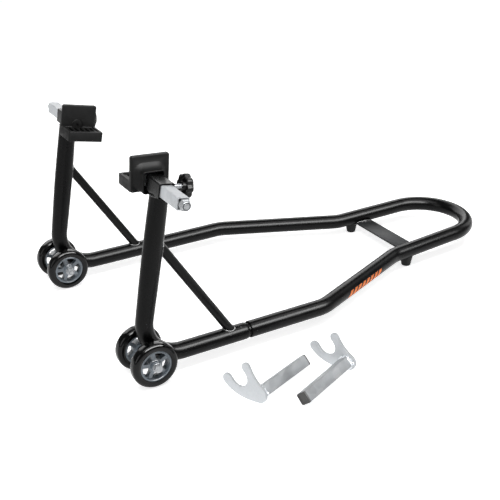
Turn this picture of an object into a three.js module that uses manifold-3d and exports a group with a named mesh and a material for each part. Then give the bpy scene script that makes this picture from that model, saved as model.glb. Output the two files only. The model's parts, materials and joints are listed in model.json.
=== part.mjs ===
// Rear paddock stand for a motorcycle, with its two loose fork adapters.
//
// Two bent side tubes carry a pair of wheels each and lean back to a square socket at the top. A
// square bar slides in each socket, is held by a knob screw and carries an L-shaped rubber pad. The
// handle loop plugs over the ends of the side tubes and rests on two rubber feet.
//
// Millimetres, +Z up. While it is built, X runs from the wheel axle to the handle, Y = 0 is the
// middle plane and Z = 0 is the floor. Left is -Y and right is +Y, as the person at the handle sees
// them. The finished group is then moved so that its origin is the bottom centre of its box.

import * as THREE from 'three';
import { mergeVertices } from 'three/addons/utils/BufferGeometryUtils.js';
import Module from 'manifold-3d';

// ---------------------------------------------------------------- driving dimensions

const gap = 0.3; // between pieces that touch
const fine = 0.01; // overlap that lets two shapes join cleanly

const tubeRadius = 15; // frame tube, 30 x 2
const tubeWall = 2;
const armHeight = 30; // tube centre line above the floor
const trackHalf = 198.5; // middle plane to the side tube

const lean = THREE.MathUtils.degToRad(10); // uprights lean towards the handle
const headX = 40; // bar axis at the top of each upright
const headHeight = 330;
const heelRadius = 66; // bend between upright and lower arm
const ovalSwell = 0.12; // uprights are squeezed sideways and swell fore and aft

const jointX = 195; // square end of the handle loop
const swageLength = 7;
const spigotLength = 50;
const spigotRadius = tubeRadius - tubeWall - gap;

const braceRadius = 8;
const braceWall = 1.5;
const braceTopHeight = 245.6;
const braceFootX = 165;

const wheelRadius = 40;
const wheelPitch = 61; // centre to centre of the two wheels on one axle
const hubRadius = 27.7;
const boltRadius = 4; // M8
const bushHalf = 11.2;
const sleeveRadius = 7;
const washerThickness = 1.6;

const loopBendRadius = 72;
const loopFirstBendX = 354;
const loopSecondBendX = 593;
const loopSecondHalf = 97.5;
const loopEndX = 753; // where the half-circle starts
const loopEndHalf = 89;
const loopRise = 6;

const strapX = 652;
const strapWidth = 38;
const strapThickness = 4;
const strapTop = 24;
const footX = 629;

const barHalf = 10; // 20 mm square bar
const barWall = 2;
const barOuterEnd = 278; // from the middle plane
const socketHalf = 13;
const socketWall = 2.7;
const socketInnerEnd = 184;
const socketOuterEnd = 222;

const padHalf = 31; // along the stand
const padFace = 160; // outboard face of the upright plate, from the middle plane
const padThickness = 8;
const padDepth = 49;
const padTop = 36;
const padBottom = -20;
const shelfTop = -2;
const padSwing = { left: -6, right: 1.5 }; // degrees that each pad is turned on its bolt

const studRadius = 3.9; // M8 clamp screw
const knobRadius = 20;
const knobLobes = 8;

const hookThickness = 5;
const hookBarLength = 123.5;

// ---------------------------------------------------------------- materials

const paint = new THREE.MeshStandardMaterial({ color: 0x15171a, roughness: 0.32, metalness: 0.3 });
const strapPaint = new THREE.MeshStandardMaterial({ color: 0x2b2d2f, roughness: 0.5, metalness: 0.3 });
const zinc = new THREE.MeshStandardMaterial({ color: 0xb9bdc2, roughness: 0.45, metalness: 0.9 });
const rubber = new THREE.MeshStandardMaterial({ color: 0x1c1d1f, roughness: 0.7, metalness: 0 });
const tyreRubber = new THREE.MeshStandardMaterial({ color: 0x0c0c0d, roughness: 0.3, metalness: 0 });
const hubPlastic = new THREE.MeshStandardMaterial({ color: 0x555d68, roughness: 0.45, metalness: 0 });
const knobPlastic = new THREE.MeshStandardMaterial({ color: 0x111113, roughness: 0.4, metalness: 0 });

// ---------------------------------------------------------------- solids

const wasm = await Module();
wasm.setup();

function toSolid(geometry) {
  const bare = geometry.clone();
  bare.deleteAttribute('normal');
  bare.deleteAttribute('uv');
  const merged = mergeVertices(bare, 1e-4);
  return new wasm.Manifold(
    new wasm.Mesh({
      numProp: 3,
      vertProperties: merged.attributes.position.array,
      triVerts: merged.index.array,
    }),
  );
}

function toGeometry(solid) {
  const mesh = solid.getMesh();
  const geometry = new THREE.BufferGeometry();
  geometry.setAttribute('position', new THREE.BufferAttribute(mesh.vertProperties, 3));
  geometry.setIndex(new THREE.BufferAttribute(mesh.triVerts, 1));
  return geometry;
}

function join(...geometries) {
  return toGeometry(geometries.map(toSolid).reduce((whole, next) => whole.add(next)));
}

function cut(geometry, ...tools) {
  return toGeometry(tools.map(toSolid).reduce((whole, tool) => whole.subtract(tool), toSolid(geometry)));
}

function signedVolume(geometry) {
  const flat = geometry.index ? geometry.toNonIndexed() : geometry;
  const place = flat.attributes.position;
  const [a, b, c] = [new THREE.Vector3(), new THREE.Vector3(), new THREE.Vector3()];
  let total = 0;
  for (let i = 0; i < place.count; i += 3) {
    a.fromBufferAttribute(place, i);
    b.fromBufferAttribute(place, i + 1);
    c.fromBufferAttribute(place, i + 2);
    total += a.dot(b.cross(c)) / 6;
  }
  return total;
}

// The same shape with its faces turned to point out.
function facingOut(geometry) {
  if (signedVolume(geometry) > 0) return geometry;
  const flat = geometry.index ? geometry.toNonIndexed() : geometry;
  const place = flat.attributes.position.array;
  for (let i = 0; i < place.length; i += 9) {
    for (let k = 0; k < 3; k += 1) {
      const kept = place[i + 3 + k];
      place[i + 3 + k] = place[i + 6 + k];
      place[i + 6 + k] = kept;
    }
  }
  return flat;
}

// ---------------------------------------------------------------- basic shapes

const point2 = (x, y) => new THREE.Vector2(x, y);
const point3 = (x, y, z) => new THREE.Vector3(x, y, z);

function box(low, high) {
  const size = high.clone().sub(low);
  const middle = low.clone().add(high).multiplyScalar(0.5);
  return new THREE.BoxGeometry(size.x, size.y, size.z).translate(middle.x, middle.y, middle.z);
}

// A round bar along Y, from one Y to another.
function roundY(radius, from, to, sides = 24) {
  const length = to - from;
  return new THREE.CylinderGeometry(radius, radius, length, sides).translate(0, (from + to) / 2, 0);
}

// A round bar along X.
function roundX(radius, from, to, sides = 24) {
  return roundY(radius, from, to, sides).rotateZ(-Math.PI / 2);
}

// A ring or a solid of revolution about Y. The profile holds [radius, y] pairs.
function turned(profile, sides = 28) {
  const points = profile.map(([radius, y]) => point2(radius, y));
  points.push(points[0].clone());
  return facingOut(new THREE.LatheGeometry(points, sides));
}

function ringY(outer, inner, from, to, sides = 24) {
  return turned([[inner, from], [outer, from], [outer, to], [inner, to]], sides);
}

// A rectangle with round corners.
function roundedRectangle(halfWidth, halfHeight, radius, cornerSteps = 3) {
  const points = [];
  for (let corner = 0; corner < 4; corner += 1) {
    const sx = corner === 0 || corner === 3 ? 1 : -1;
    const sy = corner < 2 ? 1 : -1;
    for (let i = 0; i <= cornerSteps; i += 1) {
      const angle = ((corner + i / cornerSteps) * Math.PI) / 2;
      const x = sx * (halfWidth - radius) + radius * Math.cos(angle);
      const y = sy * (halfHeight - radius) + radius * Math.sin(angle);
      points.push(point2(x, y));
    }
  }
  return points;
}

// The points flipped for an extrusion that is turned onto Y, in the order that holes need.
function flipped(outline) {
  const points = outline.map((p) => point2(p.x, -p.y));
  return THREE.ShapeUtils.isClockWise(points) ? points.reverse() : points;
}

// An outline in the X-Z plane raised along Y.
function raisedAlongY(outline, from, to, holes = []) {
  const shape = new THREE.Shape(flipped(outline));
  shape.holes = holes.map((hole) => new THREE.Path(flipped(hole)));
  const body = new THREE.ExtrudeGeometry(shape, { depth: to - from, bevelEnabled: false });
  return facingOut(body.rotateX(-Math.PI / 2).translate(0, from, 0));
}

function squareTube(half, wall, corner, from, to) {
  const inner = Math.max(corner - wall, 0.6);
  const hole = roundedRectangle(half - wall, half - wall, inner, 2);
  return raisedAlongY(roundedRectangle(half, half, corner), from, to, [hole]);
}

// ---------------------------------------------------------------- bent tubes

// A path through given stations, with one sweep step for each stretch between them.
class StationPath extends THREE.Curve {
  constructor(stations) {
    super();
    this.stations = stations;
    this.last = stations.length - 1;
  }

  getPoint(t, target = point3(0, 0, 0)) {
    return target.copy(this.stations[Math.round(t * this.last)]);
  }

  getPointAt(t, target) {
    return this.getPoint(t, target);
  }

  getTangent(t, target = point3(0, 0, 0)) {
    const i = Math.round(t * this.last);
    const here = this.stations[i];
    target.set(0, 0, 0);
    if (i > 0) target.add(here.clone().sub(this.stations[i - 1]).normalize());
    if (i < this.last) target.add(this.stations[i + 1].clone().sub(here).normalize());
    return target.normalize();
  }

  getTangentAt(t, target) {
    return this.getTangent(t, target);
  }
}

// The stations of a line with one round bend at each inner corner.
function bentLine(corners, radius, stepAngle) {
  const stations = [corners[0].clone()];
  for (let i = 1; i < corners.length - 1; i += 1) {
    const back = corners[i - 1].clone().sub(corners[i]).normalize();
    const on = corners[i + 1].clone().sub(corners[i]).normalize();
    const half = back.angleTo(on) / 2;
    const middle = back.clone().add(on).normalize();
    const centre = corners[i].clone().addScaledVector(middle, radius / Math.sin(half));
    const arm = corners[i].clone().addScaledVector(back, radius / Math.tan(half)).sub(centre);
    const axis = point3(0, 0, 0).crossVectors(arm, back.clone().negate()).normalize();
    const turn = Math.PI - 2 * half;
    const steps = Math.max(1, Math.ceil(turn / stepAngle));
    for (let k = 0; k <= steps; k += 1) {
      stations.push(arm.clone().applyAxisAngle(axis, (turn * k) / steps).add(centre));
    }
  }
  stations.push(corners[corners.length - 1].clone());
  return stations;
}

function circle(radius, sides) {
  return Array.from({ length: sides }, (_, i) => {
    const angle = (2 * Math.PI * i) / sides;
    return point2(radius * Math.cos(angle), radius * Math.sin(angle));
  });
}

// A round tube along the stations. An inner radius of 0 makes it solid.
function sweptTube(stations, outer, inner, sides = 16) {
  const section = new THREE.Shape(circle(outer, sides));
  if (inner > 0) section.holes.push(new THREE.Path(circle(inner, sides)));
  const options = { steps: stations.length - 1, extrudePath: new StationPath(stations) };
  return facingOut(new THREE.ExtrudeGeometry(section, options));
}

const bendStep = THREE.MathUtils.degToRad(11);

// ---------------------------------------------------------------- side tubes and braces

const heelX = headX - (headHeight - armHeight) * Math.tan(lean);
const uprightWay = point3(Math.sin(lean), 0, Math.cos(lean));
const uprightTop = point3(headX, 0, headHeight).addScaledVector(uprightWay, -(socketHalf + gap));
const heelSetback = heelRadius * Math.tan((Math.PI / 2 + lean) / 2);

function evenly(from, to, count) {
  return Array.from({ length: count }, (_, i) => from.clone().lerp(to, i / count));
}

function sideTubeStations() {
  const heel = point3(heelX, 0, armHeight);
  const bendStart = heel.clone().addScaledVector(uprightWay, heelSetback);
  const arm = (x) => point3(x, 0, armHeight);
  const bend = bentLine([uprightTop, heel, arm(jointX)], heelRadius, bendStep).slice(1, -1);
  const swageStart = jointX - 1 - swageLength;
  return [
    ...evenly(uprightTop, bendStart, 6),
    ...bend,
    arm(swageStart),
    arm(swageStart + swageLength * 0.45),
    arm(jointX - 1),
    arm(jointX + spigotLength),
  ];
}

// Squeezes the upright into an oval, and draws the end of the arm down to a spigot.
function shapeSideTube(geometry, extra) {
  const place = geometry.attributes.position;
  const p = point3(0, 0, 0);
  const heel = point3(heelX, 0, armHeight);
  const uprightLength = uprightTop.distanceTo(heel) - heelSetback;
  const across = point3(Math.cos(lean), 0, -Math.sin(lean));
  for (let i = 0; i < place.count; i += 1) {
    p.fromBufferAttribute(place, i);
    const rel = p.clone().sub(heel);
    const along = rel.dot(uprightWay) - heelSetback;
    if (along > 0 && p.x < heelX + 2 * heelRadius) {
      const swell = ovalSwell * Math.sin(Math.PI * Math.min(along / uprightLength, 1));
      p.addScaledVector(across, rel.dot(across) * swell);
      p.y *= 1 - swell;
    }
    const drawn = (p.x - (jointX - 1 - swageLength)) / swageLength;
    if (drawn > 0.01 && p.z < armHeight + 2 * tubeRadius) {
      const full = (spigotRadius + extra) / (tubeRadius + extra);
      const scale = drawn > 0.9 ? full : 1 - (1 - full) * 0.3;
      p.y *= scale;
      p.z = armHeight + (p.z - armHeight) * scale;
    }
    place.setXYZ(i, p.x, p.y, p.z);
  }
  return geometry;
}

function sideTube() {
  const body = sweptTube(sideTubeStations(), tubeRadius, tubeRadius - tubeWall);
  return shapeSideTube(body, 0);
}

// The side tube's outside, a little larger, to cut what is welded to it.
function sideTubeRoom() {
  return shapeSideTube(sweptTube(sideTubeStations(), tubeRadius + gap, 0), gap);
}

function brace() {
  const top = point3(heelX + (braceTopHeight - armHeight) * Math.tan(lean), 0, braceTopHeight);
  const foot = point3(braceFootX, 0, armHeight);
  const tube = sweptTube([top, foot], braceRadius, braceRadius - braceWall, 16);
  return largestBody(toSolid(tube).subtract(toSolid(sideTubeRoom())));
}

// The largest of the bodies that a cut leaves.
function largestBody(solid) {
  const bodies = solid.decompose();
  return toGeometry(bodies.reduce((best, body) => (body.volume() > best.volume() ? body : best)));
}

function axleSleeve() {
  const half = wheelPitch / 2 - bushHalf - gap;
  const sleeve = ringY(sleeveRadius, boltRadius + 0.3, -half, half, 20).translate(0, 0, wheelRadius);
  return cut(sleeve, sideTubeRoom());
}

// ---------------------------------------------------------------- handle loop, strap and feet

function loopStations() {
  const half = bentLine(
    [
      point3(jointX, -trackHalf, armHeight),
      point3(loopFirstBendX, -trackHalf, armHeight),
      point3(loopSecondBendX, -loopSecondHalf, armHeight),
      point3(loopEndX, -loopEndHalf, armHeight),
    ],
    loopBendRadius,
    bendStep,
  );
  const steps = 8;
  for (let i = 1; i <= steps; i += 1) {
    const angle = (Math.PI / 2) * (i / steps);
    const x = loopEndX + loopEndHalf * Math.sin(angle);
    half.push(point3(x, -loopEndHalf * Math.cos(angle), armHeight));
  }
  const other = half.slice(0, -1).reverse();
  const whole = [...half, ...other.map((p) => point3(p.x, -p.y, p.z))];
  for (const p of whole) {
    const part = (p.x - loopSecondBendX) / (loopEndX - loopSecondBendX);
    p.z += loopRise * THREE.MathUtils.clamp(part, 0, 1);
  }
  return whole;
}

const loopSolid = sweptTube(loopStations(), tubeRadius + gap, 0);

const loopHalfAt = (x) => {
  const part = (x - loopSecondBendX) / (loopEndX - loopSecondBendX);
  return THREE.MathUtils.lerp(loopSecondHalf, loopEndHalf, part);
};

const footScrew = { radius: 2.4, headRadius: 3.4, headHeight: 2.4, recess: 5, top: 24 };

function handleLoop() {
  const tube = sweptTube(loopStations(), tubeRadius, tubeRadius - tubeWall);
  const y = loopHalfAt(footX);
  const hole = (side) =>
    new THREE.CylinderGeometry(footScrew.radius + gap, footScrew.radius + gap, 20, 16)
      .rotateX(Math.PI / 2)
      .translate(footX, side * y, 12);
  return cut(tube, hole(-1), hole(1));
}

function crossStrap() {
  const reach = loopHalfAt(strapX) - 4;
  const low = point3(strapX - strapWidth / 2, -reach, strapTop - strapThickness);
  const high = point3(strapX + strapWidth / 2, reach, strapTop);
  return cut(box(low, high), loopSolid);
}

// A tapered rubber foot with a saddle top, hollowed for its screw.
function foot(side) {
  const y = side * loopHalfAt(footX);
  const height = 22;
  const profile = [[0.01, 0], [5.9, 0], [6.9, 1], [11.4, height], [0.01, height]];
  const body = turned(profile, 24).rotateX(Math.PI / 2).translate(footX, y, 0);
  const recess = roundY(footScrew.headRadius + gap, -1, footScrew.recess, 20);
  const hole = roundY(footScrew.radius + gap, 0, height + 1, 16);
  const tools = [recess, hole].map((tool) => tool.rotateX(Math.PI / 2).translate(footX, y, 0));
  return cut(body, loopSolid, ...tools);
}

function footScrewShape(side) {
  const seat = footScrew.recess - gap;
  const headPart = roundY(footScrew.headRadius, seat - footScrew.headHeight, seat, 20);
  const shank = roundY(footScrew.radius, seat - 1, footScrew.top, 16);
  return join(headPart, shank).rotateX(Math.PI / 2).translate(footX, side * loopHalfAt(footX), 0);
}

// ---------------------------------------------------------------- wheels and axles

function tyre() {
  const shoulder = 7;
  const half = 10.4;
  const arc = (side) =>
    [0, 25, 50, 70, 90].map((degrees) => {
      const angle = THREE.MathUtils.degToRad(degrees);
      const radius = wheelRadius - shoulder + shoulder * Math.sin(angle);
      return [radius, side * (half - shoulder + shoulder * Math.cos(angle))];
    });
  return turned([[hubRadius + gap, -9.4], ...arc(-1), ...arc(1).reverse(), [hubRadius + gap, 9.4]]);
}

const spokes = 5;
const bossRadius = 9.5;

function hubOpening() {
  const [inner, outer, halfSpoke] = [12.5, 22.6, 3.9];
  const innerAngle = Math.PI / spokes - Math.asin(halfSpoke / inner);
  const outerAngle = Math.PI / spokes - Math.asin(halfSpoke / outer);
  const at = (radius, angle) => point2(radius * Math.sin(angle), radius * Math.cos(angle));
  const outerArc = [-1, -0.6, -0.2, 0.2, 0.6, 1].map((part) => at(outer, part * outerAngle * 0.86));
  const sides = [at(outer - 2.2, outerAngle), at(inner + 0.8, innerAngle)];
  const foot2 = [at(inner - 0.4, innerAngle * 0.4), at(inner - 0.4, -innerAngle * 0.4)];
  const back = [at(inner + 0.8, -innerAngle), at(outer - 2.2, -outerAngle)];
  return [...outerArc, ...sides, ...foot2, ...back];
}

function hub() {
  const opening = hubOpening();
  const holes = Array.from({ length: spokes }, (_, i) => {
    const turn = (2 * Math.PI * i) / spokes;
    return opening.map((p) => p.clone().rotateAround(point2(0, 0), turn));
  });
  const disc = raisedAlongY(circle(hubRadius - 0.6, 30), -5.5, 5.5, holes);
  const band = ringY(hubRadius, hubRadius - 3.4, -9, 9, 30);
  const boss = roundY(bossRadius, -bushHalf + 0.4, bushHalf - 0.4, 20);
  return cut(join(disc, band, boss), roundY(6 + gap, -20, 20, 20));
}

function hexagon(acrossFlats) {
  const corner = acrossFlats / Math.sqrt(3);
  return circle(corner, 6);
}

// The axle parts are made for the right side, about the middle of the sleeve, with the bolt's head
// outboard. The left side has the same parts turned half round.
const washerSeat = wheelPitch / 2 + bushHalf + gap;
const nutSeat = washerSeat + washerThickness + gap;

function axleBolt() {
  const headPart = raisedAlongY(hexagon(13), nutSeat, nutSeat + 5.3);
  return join(headPart, roundY(boltRadius, -nutSeat - 10, nutSeat + 1, 16));
}

function axleNut() {
  const nut = raisedAlongY(hexagon(13), -nutSeat - 8, -nutSeat);
  return cut(nut, roundY(boltRadius + gap, -80, 0, 16));
}

function axleWasher(way) {
  const ring = ringY(8, boltRadius + gap, washerSeat, washerSeat + washerThickness, 20);
  return way > 0 ? ring : ring.rotateZ(Math.PI);
}

// ---------------------------------------------------------------- sockets, bars and clamp screws
// These are made about the bar's axis: Y along the bar, Z along the leaning upright.

function barSocket(side) {
  const [from, to] = side < 0 ? [-socketOuterEnd, -socketInnerEnd] : [socketInnerEnd, socketOuterEnd];
  const tube = squareTube(socketHalf, socketWall, 3, from, to);
  const hole = roundX(studRadius + gap, 0, socketHalf + 5, 16).translate(0, side * trackHalf, 0);
  return cut(tube, hole);
}

function clampNut(side) {
  const nut = raisedAlongY(hexagon(13), 0, 6.5).rotateZ(-Math.PI / 2);
  const bore = roundX(studRadius + gap, -1, 8, 16);
  return cut(nut, bore).translate(socketHalf + gap, side * trackHalf, 0);
}

const studStart = barHalf + gap;
const studEnd = 50;
const knobBack = 38;

function clampStud(side) {
  const tip = roundX(studRadius - 1, studStart, studStart + 2, 16);
  return join(tip, roundX(studRadius, studStart + 1, studEnd, 16)).translate(0, side * trackHalf, 0);
}

// A lobed knob along X with a hollow back, a boss around the stud and a domed front.
function knob(side) {
  const lobeSteps = 6;
  const count = knobLobes * lobeSteps;
  const outline = Array.from({ length: count }, (_, i) => {
    const angle = (2 * Math.PI * i) / count;
    const radius = knobRadius - 1.2 + 1.2 * Math.cos(knobLobes * angle);
    return point2(radius * Math.cos(angle), radius * Math.sin(angle));
  });
  const rim = raisedAlongY(outline, 0, 11);
  const front = turned([[0.01, 10], [16, 10], [14, 13], [9, 14.6], [0.01, 15]], 24);
  const hollow = roundY(15.5, -1, 6, 24);
  const boss = roundY(7, -2, 8, 20);
  const bore = roundY(studRadius + gap, -5, studEnd - knobBack + gap, 20);
  const body = cut(join(cut(join(rim, front), hollow), boss), bore);
  return body.rotateZ(-Math.PI / 2).translate(knobBack, side * trackHalf, 0);
}

function slidingBar(side) {
  const [from, to] = side < 0 ? [-barOuterEnd, -padFace - gap] : [padFace + gap, barOuterEnd];
  return squareTube(barHalf, barWall, 2.6, from, to);
}

const padBoltHead = 10; // countersunk, M10
const padBoltRadius = 5;
const padNutHeight = 10;

function padBolt(side) {
  const inner = padFace - padThickness;
  const tip = barOuterEnd + gap + padNutHeight + 2.5;
  const head = [[0.01, inner], [padBoltHead, inner], [padBoltHead, inner + 0.6], [padBoltRadius, inner + 5.6]];
  return turned([...head, [padBoltRadius, tip], [0.01, tip]], 24).rotateZ(side < 0 ? Math.PI : 0);
}

function padNut(side) {
  const from = barOuterEnd + gap;
  const nut = raisedAlongY(hexagon(17), from, from + 7);
  const collar = roundY(7.6, from + 6, from + padNutHeight, 24);
  const bored = cut(join(nut, collar), roundY(padBoltRadius + gap, from - 5, from + 20, 20));
  return bored.rotateZ(side < 0 ? Math.PI : 0);
}

// ---------------------------------------------------------------- pads
// Made for the right side about the bar's axis. The left pad is the same piece, turned round.

const padTip = padFace - padDepth;

function pad() {
  const inner = padFace - padThickness;
  const corner = 4;
  const face = roundedRectangle(padHalf, (padTop - padBottom) / 2, corner, 3);
  face.forEach((p) => p.add(point2(0, (padTop + padBottom) / 2)));
  const plate = raisedAlongY(face, inner, padFace);

  const seat = new THREE.Shape(roundedRectangle(padHalf, padDepth / 2, 2.5, 2));
  const shelf = new THREE.ExtrudeGeometry(seat, { depth: shelfTop - padBottom, bevelEnabled: false });
  shelf.translate(0, padTip + padDepth / 2, padBottom);

  const neck = sleeveBlock(24, 17, padFace - fine, padFace + 22);
  const bore = raisedAlongY(roundedRectangle(13.8, 13.8, 2, 2), padFace, padFace + 30);
  const shank = roundY(padBoltRadius + gap, inner - 5, padFace + 5, 24);
  const sinkProfile = [[0.01, inner - 1], [padBoltHead + 0.5, inner - 1], [padBoltHead + 0.5, inner + 0.9]];
  const sink = turned([...sinkProfile, [padBoltRadius + gap, inner + 6.1], [0.01, inner + 6.1]], 24);

  const recess = box(point3(-26, padTip + 5, shelfTop - 2), point3(26, inner - fine, shelfTop + 1));
  const grooves = [-20, -10, 0, 10, 20].map((x) =>
    box(point3(x - 2.6, padTip + 8, shelfTop - 6), point3(x + 2.6, inner - 2, shelfTop + 1)),
  );
  return cut(join(plate, shelf, neck), bore, shank, sink, recess, ...grooves);
}

// A square neck that narrows from the plate to its mouth.
function sleeveBlock(rootHalf, mouthHalf, from, to) {
  const body = raisedAlongY(roundedRectangle(mouthHalf, mouthHalf, 3, 2), from, to);
  const place = body.attributes.position;
  for (let i = 0; i < place.count; i += 1) {
    const part = (to - place.getY(i)) / (to - from);
    const widen = 1 + (rootHalf / mouthHalf - 1) * part;
    const z = place.getZ(i) * widen;
    place.setXYZ(i, place.getX(i) * widen, place.getY(i), Math.max(z, padBottom + 0.6));
  }
  return body;
}

// ---------------------------------------------------------------- fork adapters
// Made with the bar along Z from the origin and the hook plate in the X-Y plane.

const hookTip = 7;
const tipA = point2(-42, 47);
const tipB = point2(7, 46.5);
const lobe = 15.5;

function arcPoints(centre, radius, fromDegrees, toDegrees, steps) {
  return Array.from({ length: steps + 1 }, (_, i) => {
    const angle = THREE.MathUtils.degToRad(fromDegrees + ((toDegrees - fromDegrees) * i) / steps);
    return point2(centre.x + radius * Math.cos(angle), centre.y + radius * Math.sin(angle));
  });
}

function hookOutline() {
  const mouth = (tipB.x - tipA.x) / 2 - hookTip;
  const mouthCentre = point2((tipA.x + tipB.x) / 2, 25.4 + mouth);
  const belly = new THREE.CubicBezierCurve(
    point2(tipA.x - hookTip, tipA.y),
    point2(-50, 18),
    point2(-28, 0),
    point2(-9.5, -12.25),
  );
  return [
    ...arcPoints(tipB, hookTip, 0, 180, 8),
    ...arcPoints(mouthCentre, mouth, 0, -180, 12),
    ...arcPoints(tipA, hookTip, 0, 180, 8).slice(0, -1),
    ...belly.getPoints(8).slice(0, -1),
    ...arcPoints(point2(0, 0), lobe, -128, 0, 9),
  ];
}

// The bar runs to +Z or to -Z from the plate, which makes a left and a right adapter.
function hookPlate(way) {
  const plate = new THREE.ExtrudeGeometry(new THREE.Shape(hookOutline()), {
    depth: hookThickness,
    bevelEnabled: false,
  });
  return way > 0 ? plate.translate(0, 0, -hookThickness) : plate;
}

function hookBar(way) {
  const bar = squareTube(barHalf, barWall, 2.6, gap, hookBarLength - capLip - gap);
  return bar.rotateX((way * Math.PI) / 2);
}

const capLip = 3;

function hookCap(way) {
  const lip = raisedAlongY(roundedRectangle(barHalf, barHalf, 2.6, 3), hookBarLength - capLip, hookBarLength);
  const plugHalf = barHalf - barWall - gap;
  const plug = raisedAlongY(
    roundedRectangle(plugHalf, plugHalf, 1, 2),
    hookBarLength - capLip - 12,
    hookBarLength - capLip + fine,
  );
  return join(lip, plug).rotateX((way * Math.PI) / 2);
}

// ---------------------------------------------------------------- assembly

const stand = new THREE.Group();

function add(group, name, geometry, material) {
  const mesh = new THREE.Mesh(geometry, material);
  mesh.name = name;
  group.add(mesh);
  return mesh;
}

const sides = [['left', -1], ['right', 1]];

const head = new THREE.Group();
head.position.set(headX, 0, headHeight);
head.rotation.y = lean;
stand.add(head);

const wheelTurn = { left_outer: 20, left_inner: -8, right_inner: 5, right_outer: 31 };

for (const [name, side] of sides) {
  const y = side * trackHalf;
  add(stand, `side_tube_${name}`, sideTube(), paint).position.y = y;
  add(stand, `brace_${name}`, brace(), paint).position.y = y;
  add(stand, `axle_sleeve_${name}`, axleSleeve(), paint).position.y = y;

  const axle = new THREE.Group();
  axle.position.set(0, y, wheelRadius);
  axle.rotation.z = side < 0 ? Math.PI : 0;
  stand.add(axle);
  add(axle, `axle_bolt_${name}`, axleBolt(), zinc);
  add(axle, `axle_nut_${name}`, axleNut(), zinc);
  add(axle, `axle_washer_${name}_outer`, axleWasher(1), zinc);
  add(axle, `axle_washer_${name}_inner`, axleWasher(-1), zinc);

  for (const [place, way] of [['inner', -side], ['outer', side]]) {
    const wheel = new THREE.Group();
    wheel.position.set(0, y + (way * wheelPitch) / 2, wheelRadius);
    wheel.rotation.y = THREE.MathUtils.degToRad(wheelTurn[`${name}_${place}`]);
    add(wheel, `tyre_${name}_${place}`, tyre(), tyreRubber);
    add(wheel, `hub_${name}_${place}`, hub(), hubPlastic);
    add(wheel, `bush_${name}_${place}`, ringY(6, boltRadius + gap, -bushHalf, bushHalf, 20), zinc);
    stand.add(wheel);
  }

  add(head, `bar_socket_${name}`, barSocket(side), paint);
  add(head, `clamp_nut_${name}`, clampNut(side), paint);
  add(head, `clamp_stud_${name}`, clampStud(side), zinc);
  add(head, `knob_${name}`, knob(side), knobPlastic);
  add(head, `bar_${name}`, slidingBar(side), zinc);
  add(head, `pad_bolt_${name}`, padBolt(side), zinc);
  add(head, `pad_nut_${name}`, padNut(side), zinc);

  const padMesh = add(head, `pad_${name}`, pad(), rubber);
  padMesh.rotation.set(0, THREE.MathUtils.degToRad(padSwing[name]), side < 0 ? Math.PI : 0);

  add(stand, `foot_${name}`, foot(side), rubber);
  add(stand, `foot_screw_${name}`, footScrewShape(side), zinc);
}

add(stand, 'handle_loop', handleLoop(), paint);
add(stand, 'cross_strap', crossStrap(), strapPaint);

// The loose adapters lie on the floor beside the stand: the heading of the bar, its slope and the
// roll about it, and the place of the bar's axis at the hook plate.
const adapters = [
  { name: 'front', way: -1, heading: 22.4, slope: -1.85, roll: 43, x: 122, y: -359 },
  { name: 'rear', way: 1, heading: 22.1, slope: 1.6, roll: 39, x: 290, y: -355 },
];

for (const { name, way, heading, slope, roll, x, y } of adapters) {
  const adapter = new THREE.Group();
  adapter.rotateZ(THREE.MathUtils.degToRad(heading - 90));
  adapter.rotateX(THREE.MathUtils.degToRad(90 + slope));
  adapter.rotateZ(THREE.MathUtils.degToRad(roll));
  add(adapter, `hook_plate_${name}`, hookPlate(way), zinc);
  add(adapter, `hook_bar_${name}`, hookBar(way), zinc);
  add(adapter, `hook_cap_${name}`, hookCap(way), knobPlastic);
  adapter.updateMatrixWorld(true);
  const lowest = new THREE.Box3().setFromObject(adapter, true).min.z;
  adapter.position.set(x, y, -lowest);
  stand.add(adapter);
}

stand.updateMatrixWorld(true);
const bounds = new THREE.Box3().setFromObject(stand, true);
const middle = bounds.getCenter(point3(0, 0, 0));
stand.position.set(-middle.x, -middle.y, -bounds.min.z);

export default stand;
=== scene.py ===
import json
import random
from math import asin, atan2, ceil, cos, pi, radians, sin, sqrt, tan

import bmesh
import bpy
from mathutils import Matrix, Vector, noise


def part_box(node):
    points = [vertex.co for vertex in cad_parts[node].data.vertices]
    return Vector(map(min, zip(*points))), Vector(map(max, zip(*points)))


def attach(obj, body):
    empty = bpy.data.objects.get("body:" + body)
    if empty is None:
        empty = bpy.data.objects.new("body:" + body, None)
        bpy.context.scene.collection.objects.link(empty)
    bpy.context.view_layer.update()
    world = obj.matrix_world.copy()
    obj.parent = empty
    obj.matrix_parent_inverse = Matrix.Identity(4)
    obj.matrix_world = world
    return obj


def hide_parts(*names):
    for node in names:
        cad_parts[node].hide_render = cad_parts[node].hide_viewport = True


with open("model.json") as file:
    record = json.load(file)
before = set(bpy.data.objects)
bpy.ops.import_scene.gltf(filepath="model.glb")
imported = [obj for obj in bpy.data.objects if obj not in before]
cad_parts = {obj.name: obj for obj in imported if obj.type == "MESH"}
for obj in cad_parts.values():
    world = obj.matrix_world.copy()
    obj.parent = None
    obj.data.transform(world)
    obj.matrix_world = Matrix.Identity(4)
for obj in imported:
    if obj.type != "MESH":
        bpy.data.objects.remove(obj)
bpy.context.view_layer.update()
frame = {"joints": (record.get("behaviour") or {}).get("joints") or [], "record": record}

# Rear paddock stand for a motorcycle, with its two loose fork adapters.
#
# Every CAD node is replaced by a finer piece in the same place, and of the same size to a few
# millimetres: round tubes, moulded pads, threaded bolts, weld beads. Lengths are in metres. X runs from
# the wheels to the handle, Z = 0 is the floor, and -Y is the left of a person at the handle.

# ---------------------------------------------------------------- places, from the frame

joints = {joint["name"]: joint for joint in frame["joints"]}
mounts = {mount["name"]: mount for mount in frame["record"]["mounts"]}

SIDES = {"left": -1, "right": 1}


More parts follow.
